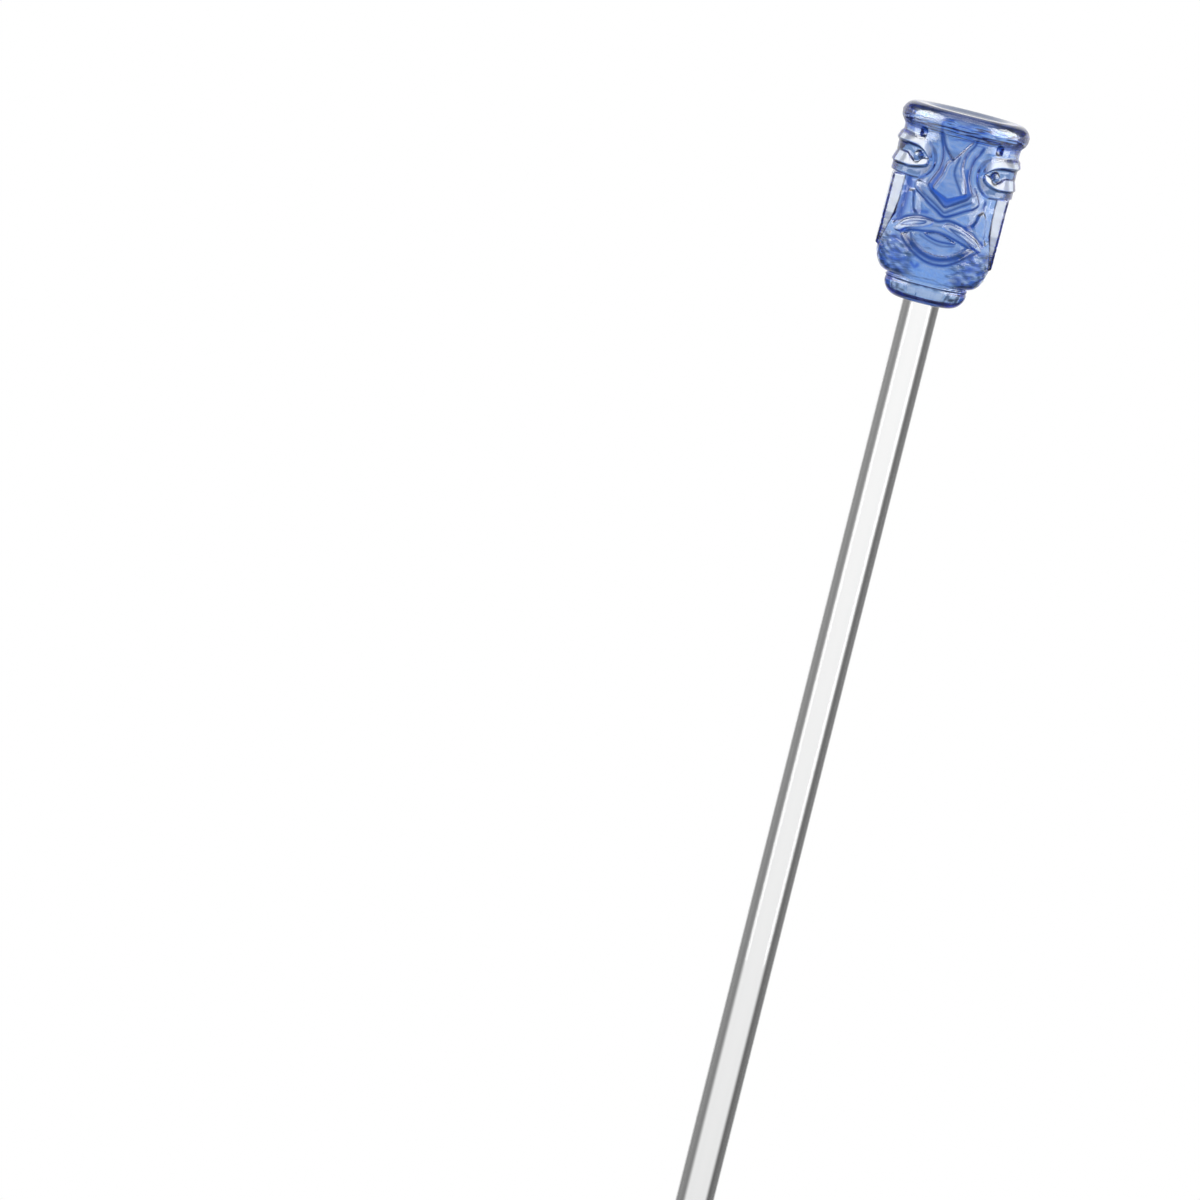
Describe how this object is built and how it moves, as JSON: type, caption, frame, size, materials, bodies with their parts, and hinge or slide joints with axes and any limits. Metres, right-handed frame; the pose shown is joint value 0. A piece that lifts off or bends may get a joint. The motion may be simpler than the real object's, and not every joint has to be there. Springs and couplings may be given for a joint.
{
  "type": "drink stirrer",
  "caption": "Clear glass stirring rod with a round melted tip, glued into a pressed blue glass head that is carved with a mask face and has a rounded rim and a stepped foot.",
  "frame": {"origin": "the lowest point of the rod's rounded stirring tip, on the rod's axis", "axes": "+Z along the rod from the stirring tip to the head, -Y the way the front face looks, +X to the right of someone who looks at the face"},
  "size_m": [0.017, 0.017, 0.19],
  "materials": {
    "blue_glass": "pressed glass, fire polished, light cobalt blue",
    "clear_glass": "drawn clear glass, smooth",
    "clear_adhesive": "clear cured glass adhesive"
  },
  "bodies": {
    "root": {"tiki_head": "blue_glass", "stirring_rod": "clear_glass", "adhesive_bond": "clear_adhesive"}
  },
  "joints": []
}
